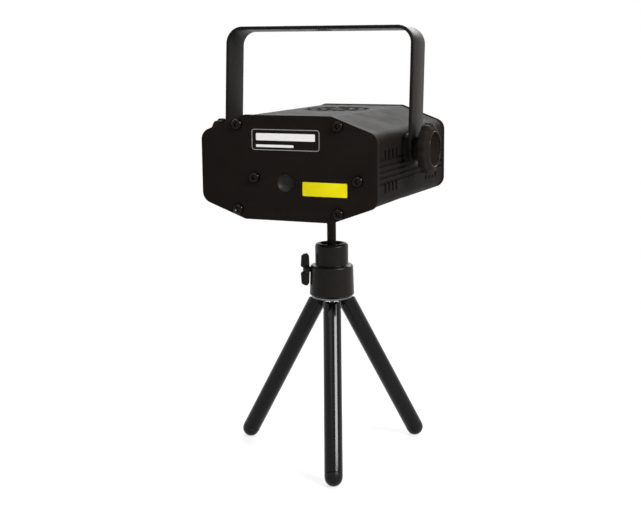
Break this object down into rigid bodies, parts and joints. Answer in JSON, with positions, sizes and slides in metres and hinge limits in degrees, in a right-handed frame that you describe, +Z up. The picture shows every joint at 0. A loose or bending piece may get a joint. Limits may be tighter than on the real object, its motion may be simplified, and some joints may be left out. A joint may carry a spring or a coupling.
{
  "type": "mini laser light projector on a tabletop tripod",
  "caption": "Black octagonal party-light projector with a U-shaped hanging yoke and clamp knobs, standing on a folding tabletop tripod with a ball head.",
  "frame": {"origin": "on the floor, on the tripod's axis, below the centre of the part's box", "axes": "+Z up along the tripod's axis, -Y out of the projector's front plate, +X to the right seen from the back"},
  "size_m": [0.146, 0.134, 0.2725],
  "materials": {
    "black_painted_metal": "satin black powder coat",
    "front_panel_black": "deep satin black paint",
    "black_plastic": "moulded black plastic",
    "gloss_black": "gloss black enamel",
    "rubber": "black rubber",
    "dark_steel": "dark plated steel",
    "chrome": "bright plating",
    "aluminium": "plain aluminium",
    "glass": "clear glass",
    "circuit_green": "green solder mask"
  },
  "bodies": {
    "tripod_base": {"ball_socket": "black_plastic", "leg_hub": "black_plastic", "leg_bracket": "chrome"},
    "lock_knob": {"lock_screw": "chrome", "lock_wing": "black_plastic"},
    "front_leg": {"front_leg_top": "black_plastic", "front_leg_tube": "gloss_black", "front_leg_foot": "rubber", "front_leg_pin": "dark_steel"},
    "right_leg": {"right_leg_top": "black_plastic", "right_leg_tube": "gloss_black", "right_leg_foot": "rubber", "right_leg_pin": "dark_steel"},
    "left_leg": {"left_leg_top": "black_plastic", "left_leg_tube": "gloss_black", "left_leg_foot": "rubber", "left_leg_pin": "dark_steel"},
    "ball_seat": {"ball_seat": "black_plastic"},
    "ball": {"ball_stud": "dark_steel"},
    "projector": {"housing": "black_painted_metal", "front_plate": "front_panel_black", "rear_plate": "front_panel_black", "front_screw_upper_left": "dark_steel", "front_screw_upper_right": "dark_steel", "front_screw_lower_left": "dark_steel", "front_screw_lower_right": "dark_steel", "front_screw_mid_left": "dark_steel", "front_screw_mid_right": "dark_steel", "rear_screw_upper_left": "dark_steel", "rear_screw_upper_right": "dark_steel", "rear_screw_lower_left": "dark_steel", "rear_screw_lower_right": "dark_steel", "aperture_window": "glass", "optics_bracket": "aluminium", "green_laser": "aluminium", "red_laser": "aluminium", "beam_combiner": "glass", "grating_motor": "dark_steel", "fan_frame": "black_plastic", "driver_board": "circuit_green", "dc_jack": "black_plastic", "mode_switch": "black_plastic", "speed_control": "dark_steel", "microphone": "aluminium", "tripod_bush": "black_plastic", "left_pivot_nut": "dark_steel", "right_pivot_nut": "dark_steel", "left_spacer": "rubber", "right_spacer": "rubber"},
    "yoke": {"yoke": "black_painted_metal"},
    "left_knob": {"left_knob": "black_plastic", "left_knob_bolt": "dark_steel"},
    "right_knob": {"right_knob": "black_plastic", "right_knob_bolt": "dark_steel"},
    "grating_wheel": {"grating_wheel": "glass"},
    "fan_rotor": {"fan_rotor": "black_plastic"},
    "mode_slider": {"mode_slider": "black_plastic"},
    "speed_knob": {"speed_knob": "black_plastic"}
  },
  "joints": [
    {"name": "front_leg_fold", "type": "hinge", "parent": "tripod_base", "child": "front_leg", "pos_m": [0.00492, -0.01149, 0.0963], "axis": [0.9191, 0.3939, 0], "range_deg": [0, 28]},
    {"name": "right_leg_fold", "type": "hinge", "parent": "tripod_base", "child": "right_leg", "pos_m": [0.00749, 0.01001, 0.0963], "axis": [-0.8007, 0.599, 0], "range_deg": [0, 28]},
    {"name": "left_leg_fold", "type": "hinge", "parent": "tripod_base", "child": "left_leg", "pos_m": [-0.01241, 0.00148, 0.0963], "axis": [-0.1184, -0.993, 0], "range_deg": [0, 28]},
    {"name": "lock_turn", "type": "hinge", "parent": "tripod_base", "child": "lock_knob", "pos_m": [0, 0, 0.1204], "axis": [-0.9171, -0.3987, 0], "range_deg": [0, 360]},
    {"name": "ball_pan", "type": "hinge", "parent": "tripod_base", "child": "ball_seat", "pos_m": [0, 0, 0.1298], "axis": [0, 0, 1], "continuous": true},
    {"name": "ball_tilt", "type": "hinge", "parent": "ball_seat", "child": "ball", "pos_m": [0, 0, 0.1298], "axis": [1, 0, 0], "range_deg": [-30, 30]},
    {"name": "tripod_thread", "type": "hinge", "parent": "ball", "child": "projector", "pos_m": [0, 0, 0.165], "axis": [0, 0, 1], "range_deg": [0, 1620]},
    {"name": "yoke_swing", "type": "hinge", "parent": "projector", "child": "yoke", "pos_m": [0, -0.01435, 0.2], "axis": [1, 0, 0], "range_deg": [-55, 140]},
    {"name": "left_knob_turn", "type": "hinge", "parent": "projector", "child": "left_knob", "pos_m": [-0.065, -0.01435, 0.2], "axis": [-1, 0, 0], "range_deg": [0, 360]},
    {"name": "right_knob_turn", "type": "hinge", "parent": "projector", "child": "right_knob", "pos_m": [0.065, -0.01435, 0.2], "axis": [1, 0, 0], "range_deg": [0, 360]},
    {"name": "grating_spin", "type": "hinge", "parent": "projector", "child": "grating_wheel", "pos_m": [0.0075, -0.05435, 0.1826], "axis": [0, 1, 0], "continuous": true},
    {"name": "fan_spin", "type": "hinge", "parent": "projector", "child": "fan_rotor", "pos_m": [0, 0.01115, 0.2137], "axis": [0, 0, 1], "continuous": true},
    {"name": "mode_slide", "type": "slide", "parent": "projector", "child": "mode_slider", "axis": [1, 0, 0], "range_m": [-0.002, 0.002]},
    {"name": "speed_turn", "type": "hinge", "parent": "projector", "child": "speed_knob", "pos_m": [-0.014, 0.06215, 0.187], "axis": [0, 1, 0], "range_deg": [-150, 150]}
  ]
}
